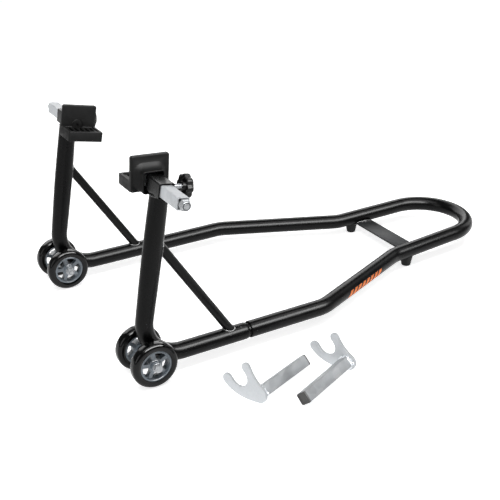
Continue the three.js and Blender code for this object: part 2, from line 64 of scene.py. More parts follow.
def centre(node):
    low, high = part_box(node)
    return (low + high) / 2


tube_y = {name: centre(f"axle_sleeve_{name}").y for name in SIDES}
mid_y = (tube_y["left"] + tube_y["right"]) / 2
track_half = (tube_y["right"] - tube_y["left"]) / 2

axle = centre("axle_sleeve_left")
head = centre("bar_socket_left")
clamp_axis = Vector(joints["clamp_left_travel"]["axis"])
lean = atan2(-clamp_axis.z, clamp_axis.x)
loop_low, loop_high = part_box("handle_loop")

# ---------------------------------------------------------------- sizes

GAP = 0.0003  # between pieces that touch, as in the CAD model

TUBE_RADIUS = 0.015
TUBE_WALL = 0.002
HEEL_RADIUS = 0.066
OVAL_SWELL = 0.12

BRACE_RADIUS = 0.008
BRACE_TOP = 0.2456  # height of its upper end
BRACE_FOOT = 0.165  # from the axle

LOOP_BEND = 0.072
LOOP_FIRST_BEND = 0.354  # from the axle
LOOP_SECOND_BEND = 0.593
LOOP_SECOND_HALF = 0.0975
LOOP_END_HALF = 0.089
LOOP_RISE = 0.006

WHEEL_RADIUS = 0.040
WHEEL_PITCH = 0.061
WHEEL_TURNS = {"left_outer": 28, "left_inner": -15, "right_inner": 24, "right_outer": 42}  # degrees
HUB_RADIUS = 0.0277
SPOKES = 5
BUSH_HALF = 0.0112
AXLE_RADIUS = 0.004
AXLE_HEAD = 0.0053
AXLE_NUT = (0.013, 0.0052, 0.0041, 0.0058)  # across flats, height, bore and collar radius
WASHER_THICKNESS = 0.0016
WASHER_BORE = 0.0043
WASHER_RADIUS = 0.008

BAR_HALF = 0.010
BAR_WALL = 0.002
SOCKET_HALF = 0.013
SOCKET_WALL = 0.0018
SOCKET_CORNER = 0.003
SOCKET_REACH = 0.009  # how far the socket runs into the pad's hollow neck

# Half width, offset from the bar and rise of the plate above PAD_TOP.
PAD_SHAPES = {"left": (0.0327, -0.0017, 0.003), "right": (0.032, 0.0022, 0)}
PAD_BOLT_RADIUS = 0.005
PAD_NUT = (0.0163, 0.0072, 0.0051, 0.0074)  # as AXLE_NUT
PAD_FACE = 0.160  # from the middle of the stand
PAD_THICKNESS = 0.008
PAD_INNER = PAD_FACE - PAD_THICKNESS
PAD_TIP = 0.111
PAD_TOP = 0.036  # heights from the bar's axis
PAD_BOTTOM = -0.020
SHELF_TOP = -0.002
NECK_LENGTH = 0.0175
LIP_HALF = 0.0184
GROOVES = 5
GROOVE_PITCH = 0.010
GROOVE_HALF = 0.0026

STUD_RADIUS = 0.0039
KNOB_LOBES = 8
KNOB_DIP = 0.0024  # how deep the hollows between the lobes are

HOOK_THICKNESS = 0.005
HOOK_FAR_TIP = 0.0091  # radii of the two tips and of the lobe that carries the bar
HOOK_TIP = 0.0082
HOOK_LOBE = 0.0155
HOOK_MOUTH = 0.0222
HOOK_BAR_LENGTH = 0.1235
CAP_LIP = 0.003
BAR_CORNER = 0.0026

COARSE_8 = 0.00125  # thread pitches of the M8 and M10 parts
COARSE_10 = 0.0015

# Turns for a part that is made along Y.
Y_TO_Z = Matrix.Rotation(pi / 2, 4, "X")
Y_TO_X = Matrix.Rotation(-pi / 2, 4, "Z")

arm_height = loop_low.z + TUBE_RADIUS
upright_way = Vector((sin(lean), 0, cos(lean)))
heel = Vector((head.x - (head.z - arm_height) * tan(lean), 0, arm_height))
joint_x = loop_low.x
loop_end_x = loop_high.x - TUBE_RADIUS - LOOP_END_HALF

# ---------------------------------------------------------------- mesh helpers


def circle(radius, sides):
    turns = [2 * pi * i / sides for i in range(sides)]
    return [(radius * cos(turn), radius * sin(turn)) for turn in turns]


def rounded_rectangle(half_width, half_height, radius, steps=5):
    points = []
    for corner in range(4):
        sx = 1 if corner in (0, 3) else -1
        sy = 1 if corner < 2 else -1
        for i in range(steps + 1):
            turn = (corner + i / steps) * pi / 2
            x = sx * (half_width - radius) + radius * cos(turn)
            y = sy * (half_height - radius) + radius * sin(turn)
            points.append((x, y))
    return points


def at_y(outline, y):
    """The points of an X-Z outline at this Y."""
    return [Vector((u, y, w)) for u, w in outline]


def loft(rings, wrap=False):
    """A closed skin over rings of equal length. It is capped at both ends unless it wraps round."""
    mesh = bmesh.new()
    rows = [[mesh.verts.new(point) for point in ring] for ring in rings]
    pairs = list(zip(rows, rows[1:]))
    if wrap:
        pairs.append((rows[-1], rows[0]))
    for near, far in pairs:
        for i in range(len(near)):
            j = (i + 1) % len(near)
            mesh.faces.new((near[i], near[j], far[j], far[i]))
    if not wrap:
        mesh.faces.new(list(reversed(rows[0])))
        mesh.faces.new(rows[-1])
    bmesh.ops.recalc_face_normals(mesh, faces=mesh.faces)
    return mesh


def rings_along(points, outlines, reference):
    """Each outline set square to the path at its point. Its first direction is near the reference."""
    rings = []
    for i, (point, outline) in enumerate(zip(points, outlines)):
        before = points[max(i - 1, 0)]
        after = points[min(i + 1, len(points) - 1)]
        tangent = Vector((0, 0, 0))
        if i > 0:
            tangent += (point - before).normalized()
        if i < len(points) - 1:
            tangent += (after - point).normalized()
        tangent.normalize()
        across = (reference - tangent * reference.dot(tangent)).normalized()
        along = tangent.cross(across)
        rings.append([point + across * u + along * w for u, w in outline])
    return rings


def bent_line(corners, radius):
    """The points of a line with one round bend at each inner corner."""
    step = radians(3.5)
    points = [corners[0].copy()]
    for before, corner, after in zip(corners, corners[1:], corners[2:]):
        back = (before - corner).normalized()
        on = (after - corner).normalized()
        half = back.angle(on) / 2
        middle = corner + (back + on).normalized() * (radius / sin(half))
        arm = corner + back * (radius / tan(half)) - middle
        axis = arm.cross(-back).normalized()
        turn = pi - 2 * half
        steps = max(2, ceil(turn / step))
        for k in range(steps + 1):
            points.append(middle + Matrix.Rotation(turn * k / steps, 3, axis) @ arm)
    points.append(corners[-1].copy())
    return points


def lathe(profile, sides, wrap=False):
    """A solid turned about Y from (radius, y) pairs."""
    mesh = loft([at_y(circle(max(radius, 1e-6), sides), y) for radius, y in profile], wrap)
    bmesh.ops.remove_doubles(mesh, verts=mesh.verts, dist=4e-6)
    return mesh


def mirrored(profile):
    """A lathe profile and its mirror image in the plane Y = 0."""
    return profile + [(radius, -y) for radius, y in reversed(profile)]


def rod(radius, low, high, sides):
    return lathe([(0.0, low), (radius, low), (radius, high), (0.0, high)], sides)


def arc(centre_u, centre_w, radius, start, end, steps):
    """Points on an arc, with its angles in degrees."""
    turns = [radians(start + (end - start) * i / steps) for i in range(steps + 1)]
    return [(centre_u + radius * cos(t), centre_w + radius * sin(t)) for t in turns]


def sharp_edges(mesh, degrees):
    limit = radians(degrees)
    return [e for e in mesh.edges if len(e.link_faces) == 2 and e.calc_face_angle(0) > limit]


def rounded(mesh, edges, width, segments=3, clamp=False):
    """The mesh with these edges rounded."""
    bmesh.ops.bevel(
        mesh, geom=edges, offset=width, segments=segments, profile=0.5, affect="EDGES", clamp_overlap=clamp
    )
    return mesh


def prism(outline, low, high, bevel=0.0, segments=2):
    """An outline in the X-Z plane raised along Y, with its rims rounded."""
    mesh = loft([at_y(outline, y) for y in (low, high)])
    if bevel:
        rims = [e for e in mesh.edges if abs(e.verts[0].co.y - e.verts[1].co.y) < 1e-7]
        rounded(mesh, rims, bevel, segments)
    return mesh


def box_mesh(low, high, ease):
    """A box with eased edges."""
    mesh = bmesh.new()
    bmesh.ops.create_cube(mesh, size=1.0)
    mesh.transform(Matrix.Translation((low + high) / 2) @ Matrix.Diagonal((*(high - low), 1)))
    return rounded(mesh, mesh.edges[:], ease)


def half_turn(side):
    """Parts are made for the right side. Those of the left side are turned half round."""
    return Matrix.Rotation(pi if side < 0 else 0, 4, "Z")


def moved(mesh, matrix):
    mesh.transform(matrix)
    return mesh


def merged(*meshes):
    """Several closed bodies in one mesh."""
    whole = bmesh.new()
    for mesh in meshes:
        data = bpy.data.meshes.new("part")
        mesh.to_mesh(data)
        whole.from_mesh(data)
        bpy.data.meshes.remove(data)
        mesh.free()
    return whole


def as_object(mesh, name="tool"):
    data = bpy.data.meshes.new(name)
    mesh.to_mesh(data)
    mesh.free()
    made = bpy.data.objects.new(name, data)
    bpy.context.scene.collection.objects.link(made)
    return made


def combined(base, steps):
    """The base with (operation, mesh) steps done to it in turn, each a UNION or a DIFFERENCE."""
    target = as_object(base, "base")
    tools = []
    for operation, mesh in steps:
        tool = as_object(mesh)
        tools.append(tool)
        modifier = target.modifiers.new("cut", "BOOLEAN")
        modifier.operation = operation
        modifier.solver = "EXACT"
        modifier.object = tool
    bpy.context.view_layer.update()
    shown = target.evaluated_get(bpy.context.evaluated_depsgraph_get())
    result = bmesh.new()
    result.from_mesh(shown.to_mesh())
    for made in [target, *tools]:
        data = made.data
        bpy.data.objects.remove(made)
        bpy.data.meshes.remove(data)
    bmesh.ops.remove_doubles(result, verts=result.verts, dist=1e-6)
    bmesh.ops.dissolve_degenerate(result, edges=result.edges, dist=1e-6)
    bmesh.ops.recalc_face_normals(result, faces=result.faces)
    return result


def square_tube(half, wall, corner, low, high, bevel=0.0004):
    """A square tube along Y with its end edges eased."""
    outer = [rounded_rectangle(half - d, half - d, corner) for d in (0, bevel)]
    bore = half - wall
    inner_corner = max(corner - wall, 0.0008)
    inner = [rounded_rectangle(bore + d, bore + d, inner_corner) for d in (0, bevel)]
    stations = [(outer[0], low + bevel), (outer[0], high - bevel), (outer[1], high), (inner[1], high)]
    stations += [(inner[0], high - bevel), (inner[0], low + bevel), (inner[1], low), (outer[1], low)]
    return loft([at_y(ring, y) for ring, y in stations], wrap=True)


def hex_body(across_flats, height, bore=0.0):
    """A hexagon along Y with turned chamfers, open for a bore or solid."""
    flat = across_flats / 2
    sides = 72

    def ring(radius, y):
        return at_y(circle(radius, sides), y)

    def corner_ring(base, sign):
        made = []
        for i in range(sides):
            turn = 2 * pi * i / sides
            radius = flat / cos(turn % (pi / 3) - pi / 6)
            drop = (radius - flat) * tan(radians(30))
            made.append(Vector((radius * cos(turn), base + sign * drop, radius * sin(turn))))
        return made

    ease = 0.0001
    rings = [ring(flat * 0.97, 0), corner_ring(ease, 1)]
    rings += [corner_ring(height - ease, -1), ring(flat * 0.97, height)]
    if bore:
        ease = 0.0006
        rings += [ring(bore + ease, height), ring(bore, height - ease)]
        rings += [ring(bore, ease), ring(bore + ease, 0)]
    return loft(rings, wrap=bool(bore))


def thread(radius, low, high, pitch, depth=0.0005, sides=28):
    """A screw thread along Y, with its tip eased."""
    count = max(2, round((high - low) / (pitch / 4)))
    rings = []
    for k in range(count + 1):
        y = low + (high - low) * k / count
        tip = min(1.0, (high - y) / 0.0015 + 0.25)
        ring = []
        for i in range(sides):
            turn = 2 * pi * i / sides
            phase = (y / pitch - i / sides) % 1.0
            r = radius - depth * (1 - abs(2 * phase - 1)) * tip - 0.0007 * (1 - tip)
            ring.append(Vector((r * cos(turn), y, r * sin(turn))))
        rings.append(ring)
    return loft(rings)


def weld_bead(path, radius, seed, closed=True, ripple=0.0022):
    """A bead of overlapping ripples along a path."""
    points = []
    count = len(path)
    length = sum((path[i] - path[i - 1]).length for i in range(0 if closed else 1, count))
    steps = max(24, int(length / ripple * 7))
    spans = count if closed else count - 1
    for k in range(steps + (0 if closed else 1)):
        place = k / steps * spans
        i = int(place) % count
        j = (i + 1) % count if closed else min(i + 1, count - 1)
        points.append(path[i].lerp(path[j], place - int(place)))
    rings = []
    for k, point in enumerate(points):
        before = points[k - 1] if closed or k else point
        after = points[(k + 1) % len(points)] if closed or k < len(points) - 1 else point
        tangent = (after - before).normalized()
        steep = abs(tangent.z) >= 0.95
        across = tangent.orthogonal() if steep else Vector((0, 0, 1)) - tangent * tangent.z
        across.normalize()
        along = tangent.cross(across)
        wave = 0.5 + 0.5 * cos(2 * pi * k * length / steps / ripple)
        lump = noise.noise(point * 260 + Vector((seed, seed, seed)))
        size = radius * (0.84 + 0.2 * wave + 0.22 * lump)
        if not closed:
            size *= sqrt(max(0.05, sin(pi * k / (len(points) - 1))))
        rings.append([point + across * u + along * w for u, w in circle(size, 14)])
    return loft(rings, wrap=closed)


def spatter(place, spread, count, seed, size):
    """Small beads of spatter. place(a, b) gives a point on the metal for two numbers round zero."""
    luck = random.Random(seed)
    beads = []
    for _ in range(count):
        point = place(luck.gauss(0, spread), luck.gauss(0, spread))
        radius = size * luck.uniform(0.45, 1.2)
        bead = bmesh.new()
        bmesh.ops.create_icosphere(bead, subdivisions=2, radius=radius)
        beads.append(moved(bead, Matrix.Translation(point)))
    return merged(*beads)


# ---------------------------------------------------------------- materials


class Shade:
    """A principled material whose roughness, colour and relief come from procedural nodes."""

    def __init__(self, name, colour, roughness, metallic=0.0, coat=0.0, specular=0.5):
        self.material = bpy.data.materials.new(name)
        self.material.use_nodes = True
        self.tree = self.material.node_tree
        self.shader = self.tree.nodes["Principled BSDF"]
        values = {"Base Color": (*colour, 1), "Roughness": roughness, "Metallic": metallic}
        values |= {"Coat Weight": coat, "Coat Roughness": 0.12, "Specular IOR Level": specular}
        for label, value in values.items():
            self.shader.inputs[label].default_value = value
        self.place = self.tree.nodes.new("ShaderNodeTexCoord").outputs["Object"]

    def node(self, kind, values, links):
        """A new node with these values and links at its inputs."""
        made = self.tree.nodes.new(kind)
        for label, value in values.items():
            made.inputs[label].default_value = value
        for label, output in links.items():
            self.tree.links.new(output, made.inputs[label])
        return made

    def noise(self, scale, detail, rough=0.55):
        values = {"Scale": scale, "Detail": detail, "Roughness": rough}
        return self.node("ShaderNodeTexNoise", values, {"Vector": self.place}).outputs["Fac"]

    def cells(self, scale):
        return self.node("ShaderNodeTexVoronoi", {"Scale": scale}, {"Vector": self.place}).outputs["Color"]

    def mixed(self, first, second, share):
        return self.node("ShaderNodeMix", {0: share}, {2: first, 3: second}).outputs[0]

    def ramp(self, fac, stops):
        """A colour ramp from (position, colour) stops."""
        made = self.node("ShaderNodeValToRGB", {}, {"Fac": fac})
        elements = made.color_ramp.elements
        while len(elements) < len(stops):
            elements.new(0.5)
        for element, (position, colour) in zip(elements, stops):
            element.position = position
            element.color = (*colour, 1)
        return made.outputs["Color"]

    def range(self, fac, low, high):
        """The middle of a noise's range spread over low to high."""
        values = {"From Min": 0.3, "From Max": 0.7, "To Min": low, "To Max": high}
        return self.node("ShaderNodeMapRange", values, {"Value": fac}).outputs["Result"]

    def colour_from(self, output):
        self.tree.links.new(output, self.shader.inputs["Base Color"])

    def roughness_from(self, output):
        self.tree.links.new(output, self.shader.inputs["Roughness"])

    def relief(self, height, distance, strength):
        values = {"Strength": strength, "Distance": distance}
        bump = self.node("ShaderNodeBump", values, {"Height": height})
        self.tree.links.new(bump.outputs["Normal"], self.shader.inputs["Normal"])


def grey(value, tint=0.0):
    """A grey that leans to blue with the tint."""
    return (value, value * (1 + tint * 0.5), value * (1 + tint))


def powder_coat(name, dark, light, roughness, coat=0.0, specular=0.11):
    """Gloss powder coat: a trace of orange peel, a little dust and uneven gloss."""
    shade = Shade(name, grey(dark), roughness, 0.0, coat, specular)
    cloud = shade.noise(14, 4)
    shade.colour_from(shade.ramp(cloud, [(0.35, grey(dark, 0.1)), (0.75, grey(light, 0.12))]))
    shade.roughness_from(shade.range(shade.noise(30, 4, 0.6), roughness - 0.02, roughness + 0.03))
    shade.relief(shade.noise(800, 2, 0.5), 0.000005, 0.08)
    return shade.material


def zinc_plate(name, dark, light, roughness, grain, metallic, specular=0.5):
    """Bright zinc: a faint spangle of pale cells and clouds."""
    shade = Shade(name, grey(light), roughness, metallic, 0.0, specular)
    spangle = shade.mixed(shade.cells(grain), shade.noise(grain * 0.45, 5, 0.65), 0.65)
    stops = [(0.2, grey(dark, 0.06)), (0.5, grey((dark + light) / 2, 0.08)), (0.8, grey(light, 0.04))]
    shade.colour_from(shade.ramp(spangle, stops))
    shade.roughness_from(shade.range(spangle, roughness - 0.08, roughness + 0.12))
    shade.relief(shade.noise(700, 3, 0.6), 0.00004, 0.5)
    return shade.material


def moulded(name, dark, light, roughness, tint, peel, depth=0.00005, specular=0.5):
    """Moulded rubber or plastic: fine skin texture, uneven gloss and slight bloom."""
    shade = Shade(name, grey(light, tint), roughness, 0.0, 0.0, specular)
    cloud = shade.noise(38, 5, 0.6)
    shade.colour_from(shade.ramp(cloud, [(0.3, grey(dark, tint)), (0.75, grey(light, tint))]))
    shade.roughness_from(shade.range(shade.noise(90, 4), roughness - 0.07, roughness + 0.1))
    shade.relief(shade.noise(peel, 3, 0.6), depth, 0.6)
    return shade.material


def printed_film(name, colour, roughness):
    """A printed film with a faint mottle."""
    shade = Shade(name, colour, roughness, 0.0, 0.0, 0.1)
    pale = tuple(min(1, c * 1.25 + 0.02) for c in colour)
    shade.colour_from(shade.ramp(shade.noise(160, 4), [(0.3, colour), (0.75, pale)]))
    shade.relief(shade.noise(500, 2), 0.00003, 0.4)
    return shade.material


# Name, dark, light, roughness, coat, specular.
PAINT = powder_coat("black_powder_coat", 0.0015, 0.003, 0.27)
WELD_PAINT = powder_coat("black_weld", 0.004, 0.009, 0.17, 0.3, 0.6)
STRAP_PAINT = powder_coat("dark_grey_coat", 0.026, 0.034, 0.45, 0.0, 0.12)
# Name, dark, light, roughness, grain, metallic, specular.
ZINC = zinc_plate("galvanised", 0.4, 0.58, 0.4, 90, 0.0, 0.2)
PLATE_ZINC = zinc_plate("satin_zinc_plate", 0.56, 0.63, 0.42, 420, 0.0, 0.1)
ADAPTER_ZINC = zinc_plate("drawn_zinc", 0.30, 0.43, 0.36, 60, 0.12, 0.16)
FASTENER = zinc_plate("fastener_zinc", 0.3, 0.42, 0.32, 500, 0.25, 0.4)
# The weld's near-white colour is partly its bare metal and partly painted glint on the spatter.
WELD_METAL_AND_GLINT = zinc_plate("bright_weld_painted_glint", 0.85, 0.95, 0.25, 900, 0.3)
BUSH_STEEL = zinc_plate("bush_steel", 0.38, 0.55, 0.3, 500, 0.95)
# Name, dark, light, roughness, tint, peel, depth, specular.
PAD_RUBBER = moulded("pad_rubber", 0.002, 0.006, 0.52, 0.05, 1100, 0.00003, 0.12)
FOOT_RUBBER = moulded("foot_rubber", 0.003, 0.006, 0.5, 0.05, 900, 0.00005, 0.15)
TYRE = moulded("gloss_tyre", 0.001, 0.003, 0.12, 0.1, 500, 0.00001, 0.19)
HUB_PLASTIC = moulded("hub_plastic", 0.11, 0.15, 0.3, 0.36, 600, 0.00002)
KNOB_PLASTIC = moulded("knob_plastic", 0.003, 0.006, 0.33, 0.0, 700, 0.00003, 0.18)
CAP_PLASTIC = moulded("cap_plastic", 0.03, 0.05, 0.5, 0.0, 800, 0.00005)
NYLON = moulded("nylon_ring", 0.05, 0.08, 0.35, 0.35, 600)
BLACK_STEEL = moulded("blackened_steel", 0.003, 0.006, 0.5, 0.0, 900, 0.00003, 0.12)
ORANGE = printed_film("orange_print", (0.74, 0.185, 0.04), 0.5)


# ---------------------------------------------------------------- pieces


def show(name, mesh, body, material, nodes=(), sharp=32, dark_within=0):
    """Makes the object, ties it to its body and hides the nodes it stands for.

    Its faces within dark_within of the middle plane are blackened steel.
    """
    made = as_object(mesh, name)
    made.data.shade_smooth()
    made.data.set_sharp_from_angle(angle=radians(sharp))
    made.data.materials.append(material)
    if dark_within:
        made.data.materials.append(BLACK_STEEL)
        for face in made.data.polygons:
            face.material_index = int(abs(face.center.y - mid_y) < dark_within)
    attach(made, body)
    if nodes:
        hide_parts(*nodes)


def painted(name, mesh, node):
    show(name, mesh, "frame", PAINT, [node])


def welded(name, mesh):
    show(name, mesh, "frame", WELD_PAINT, sharp=60)


def plated(name, mesh, body, node):
    show(name, mesh, body, FASTENER, [node])


# Side tubes, braces and their welds

SWAGE = 0.008  # over which the tube narrows to its spigot
JOINT_GAP = 0.0034
SPIGOT_RADIUS = 0.0119
SPIGOT_LENGTH = 0.05  # inside the loop
upright_top = Vector((head.x, 0, head.z)) - upright_way * (SOCKET_HALF + GAP)


def side_tube():
    """Stations hold a point on the centre line, then the radii across and along the stand."""
    setback = HEEL_RADIUS * tan((pi / 2 + lean) / 2)
    bend_start = heel + upright_way * setback
    stations = []
    steps = 28
    for k in range(steps):
        share = k / steps
        swell = OVAL_SWELL * sin(pi * (1 - share))
        point = upright_top.lerp(bend_start, share)
        stations.append((point, TUBE_RADIUS * (1 - swell), TUBE_RADIUS * (1 + swell)))
    tube_end = Vector((joint_x, 0, arm_height))
    for point in bent_line([upright_top, heel, tube_end], HEEL_RADIUS)[1:-1]:
        stations.append((point, TUBE_RADIUS, TUBE_RADIUS))
    swage_steps = 9
    start = joint_x - JOINT_GAP - SWAGE
    for k in range(swage_steps + 1):
        share = k / swage_steps
        radius = SPIGOT_RADIUS + (TUBE_RADIUS - SPIGOT_RADIUS) * sqrt(1 - share**2)
        stations.append((Vector((start + SWAGE * share, 0, arm_height)), radius, radius))
    stations.append((Vector((joint_x + SPIGOT_LENGTH, 0, arm_height)), SPIGOT_RADIUS, SPIGOT_RADIUS))
    points = [point for point, _, _ in stations]
    outlines = [[(across * x, along * y) for x, y in circle(1.0, 48)] for _, across, along in stations]
    return loft(rings_along(points, outlines, Vector((0, 1, 0))))


brace_top = Vector((heel.x + (BRACE_TOP - arm_height) * tan(lean), 0, BRACE_TOP))
brace_foot = Vector((axle.x + BRACE_FOOT, 0, arm_height))
brace_way = (brace_top - brace_foot).normalized()


def brace():
    steps = 12
    points = [brace_top.lerp(brace_foot, k / steps) for k in range(steps + 1)]
    outlines = [circle(BRACE_RADIUS, 36)] * len(points)
    return loft(rings_along(points, outlines, Vector((0, 1, 0))))


def saddle(origin, way, big_axis, big_radius, small_radius):
    """The line where a small tube that leaves origin meets the outside of a big tube."""
    lateral = Vector((0, 1, 0))
    across = way.cross(lateral)
    path = []
    for u, w in circle(small_radius, 40):
        start = origin + lateral * u + across * w
        flat_start = start - origin - big_axis * (start - origin).dot(big_axis)
        flat_way = way - big_axis * way.dot(big_axis)
        a = flat_way.dot(flat_way)
        b = 2 * flat_start.dot(flat_way)
        c = flat_start.dot(flat_start) - big_radius**2
        path.append(start + way * ((-b + sqrt(max(b * b - 4 * a * c, 0))) / (2 * a)))
    return path


def frame_welds():
    """Beads round both ends of the brace and under the socket, and spatter at the brace's foot."""
    foot_path = saddle(brace_foot, brace_way, Vector((1, 0, 0)), TUBE_RADIUS, BRACE_RADIUS + 0.0004)
    top_path = saddle(brace_top, -brace_way, upright_way, TUBE_RADIUS * 1.06, BRACE_RADIUS)
    at_head = Matrix.Translation((head.x, 0, head.z)) @ Matrix.Rotation(lean, 4, "Y")
    ring = [at_head @ Vector((u, w, -SOCKET_HALF - 0.0004)) for u, w in circle(0.0139, 48)]

    def on_tube(a, b):
        height = TUBE_RADIUS * sqrt(max(0.05, 1 - min(1, b * b)))
        return brace_foot + Vector((0.011 * a - 0.002, 0.0148 * b, 0)) + Vector((0, 0, height))

    beads = [weld_bead(foot_path, 0.0019, seed=3), weld_bead(top_path, 0.0016, seed=8)]
    beads.append(weld_bead(ring, 0.0017, seed=12))
    return merged(*beads, spatter(on_tube, spread=0.75, count=16, seed=5, size=0.0007))


def axle_sleeve():
    half = WHEEL_PITCH / 2 - BUSH_HALF - GAP
    profile = [(0.0045, -half), (0.0066, -half), (0.007, -half + 0.0004)]
    return lathe(mirrored(profile), 40, wrap=True)


def sleeve_weld():
    """A bead each side where the sleeve meets the heel bend."""
    beads = []
    line = arc(0, 0, 0.0075, 20, 160, 10)
    for way in (-1, 1):
        path = at_y(line, way * 0.0132)
        beads.append(weld_bead(path, 0.0016, seed=20 + way, closed=False))
    return merged(*beads)


for name in SIDES:
    across = Matrix.Translation((0, tube_y[name], 0))
    at_axle = Matrix.Translation((axle.x, tube_y[name], axle.z))
    painted(f"tube_{name}", moved(side_tube(), across), f"side_tube_{name}")
    painted(f"stay_{name}", moved(brace(), across), f"brace_{name}")
    welded(f"welds_{name}", moved(frame_welds(), across))
    painted(f"sleeve_{name}", moved(axle_sleeve(), at_axle), f"axle_sleeve_{name}")
    welded(f"sleeve_weld_{name}", moved(sleeve_weld(), at_axle))


# Handle loop, cross strap and feet


def loop_line():
    corners = [
        Vector((joint_x, -track_half, arm_height)),
        Vector((axle.x + LOOP_FIRST_BEND, -track_half, arm_height)),
        Vector((axle.x + LOOP_SECOND_BEND, -LOOP_SECOND_HALF, arm_height)),
        Vector((loop_end_x, -LOOP_END_HALF, arm_height)),
    ]
    half = bent_line(corners, LOOP_BEND)
    steps = 30
    for k in range(1, steps + 1):
        turn = pi / 2 * k / steps
        x = loop_end_x + LOOP_END_HALF * sin(turn)
        half.append(Vector((x, -LOOP_END_HALF * cos(turn), arm_height)))
    whole = half + [Vector((p.x, -p.y, p.z)) for p in reversed(half[:-1])]
    rise_start = axle.x + LOOP_SECOND_BEND
    for point in whole:
        share = min(1, max(0, (point.x - rise_start) / (loop_end_x - rise_start)))
        point.z += LOOP_RISE * share
        point.y += mid_y
    return whole


def end_share(x):
    """How far along the loop's last straights x is, from 0 to 1."""
    return (x - axle.x - LOOP_SECOND_BEND) / (loop_end_x - axle.x - LOOP_SECOND_BEND)


def loop_half_at(x):
    return LOOP_SECOND_HALF + (LOOP_END_HALF - LOOP_SECOND_HALF) * end_share(x)


def loop_height_at(x):
    return arm_height + LOOP_RISE * end_share(x)


def handle_loop():
    """The tube's outside all the way, with both ends open for the spigots."""
    line = loop_line()
    bore = TUBE_RADIUS - TUBE_WALL
    ease = 0.0005
    depth = Vector((0.056, 0, 0))
    step = Vector((ease, 0, 0))
    lead_in = [(line[0] + depth, bore), (line[0] + step, bore), (line[0], bore + ease)]
    lead_in += [(line[0], TUBE_RADIUS - ease), (line[0] + step, TUBE_RADIUS)]
    lead_out = [(line[-1] + step, TUBE_RADIUS), (line[-1], TUBE_RADIUS - ease)]
    lead_out += [(line[-1], bore + ease), (line[-1] + step, bore), (line[-1] + depth, bore)]

    def flat_rings(stations, way):
        return [[point + Vector((0, way * w, u)) for u, w in circle(r, 48)] for point, r in stations]

    middle = line[1:-1]
    outlines = [circle(TUBE_RADIUS, 48)] * len(middle)
    body = rings_along(middle, outlines, Vector((0, 0, 1)))
    return loft(flat_rings(lead_in, -1) + body + flat_rings(lead_out, 1))


strap_low, strap_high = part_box("cross_strap")
strap_middle = (strap_low + strap_high) / 2
strap_width = strap_high.x - strap_low.x


def cross_strap():
    length = loop_half_at(strap_middle.x) * 2 - 0.012
    outline = rounded_rectangle(strap_width / 2, (strap_high.z - strap_low.z) / 2, 0.0008, 3)
    mesh = prism(outline, -length / 2, length / 2, bevel=0.0004)
    return moved(mesh, Matrix.Translation((strap_middle.x, mid_y, strap_middle.z)))


def strap_welds():
    """Beads along the strap's upper and lower edges, and spatter at its far end."""
    beads = []
    for side in (-1, 1):
        for z, radius in ((strap_high.z, 0.002), (strap_low.z, 0.0018)):
            path = []
            for k in range(9):
                x = strap_low.x + strap_width * (0.02 + 0.96 * k / 8)
                drop = z - loop_height_at(x)
                reach = loop_half_at(x) - sqrt(TUBE_RADIUS**2 - drop**2)
                path.append(Vector((x, mid_y + side * (reach - GAP), z)))
            beads.append(weld_bead(path, radius, seed=31 + side, closed=False))
    far_end = mid_y + loop_half_at(strap_middle.x) - 0.018

    def on_strap(a, b):
        return Vector((strap_middle.x + 0.015 * a, far_end - 0.003 * b, strap_high.z))

    return merged(*beads, spatter(on_strap, spread=0.8, count=26, seed=9, size=0.001))


def rubber_foot():
    """A tapered foot that is hollow round its screw."""
    top = 0.0225
    profile = [(0.0029, 0.0056), (0.0038, 0.005), (0.0038, 0.0004), (0.0042, 0.0)]
    profile += [(0.0082, 0.0)] + arc(0.0082, 0.0012, 0.0012, -70, 0, 4)
    profile += [(0.0102, 0.006), (0.0113, 0.012), (0.0125, 0.0175), (0.0134, top), (0.0029, top)]
    return moved(lathe(profile, 48, wrap=True), Y_TO_Z)


def foot_screw():
    """A pan head with a cross recess, and its shank."""
    seat = 0.0047
    pan = [(0.0, 0.0023), (0.0018, 0.0023), (0.0029, 0.0028), (0.0034, 0.0038), (0.0034, seat), (0.0, seat)]
    cross = [rounded_rectangle(u, w, 0.0001, 1) for u, w in ((0.0017, 0.0004), (0.0004, 0.0017))]
    mesh = combined(lathe(pan, 36), [("DIFFERENCE", prism(arm, 0.0, 0.0036)) for arm in cross])
    shank = thread(0.0024, 0.0046, 0.024, pitch=0.0008, depth=0.0003, sides=20)
    return moved(merged(mesh, shank), Y_TO_Z)


painted("loop", handle_loop(), "handle_loop")
show("strap", cross_strap(), "frame", STRAP_PAINT, ["cross_strap"])
welded("strap_welds", strap_welds())

for name in SIDES:
    spot = centre(f"foot_screw_{name}")
    place = Matrix.Translation((spot.x, spot.y, 0))
    foot = moved(rubber_foot(), place)
    show(f"rubber_foot_{name}", foot, "frame", FOOT_RUBBER, [f"foot_{name}"])
    plated(f"pan_screw_{name}", moved(foot_screw(), place), "frame", f"foot_screw_{name}")


# Wheels and axles


def tyre():
    """A solid tyre with round shoulders, a shallow side step and a fine mould line."""
    shoulder = 0.0070
    half = 0.0104
    inner = HUB_RADIUS + 0.0001
    side_wall = [(inner, -0.0092), (0.0298, -0.0098), (0.0312, -0.0103), (0.0325, -half)]
    corner = arc(WHEEL_RADIUS - shoulder, -half + shoulder, shoulder, -84, -4, 10)
    line = [(WHEEL_RADIUS, -0.0012), (WHEEL_RADIUS + 0.00008, -0.0002)]
    return lathe(mirrored(side_wall + corner + line), 96, wrap=True)


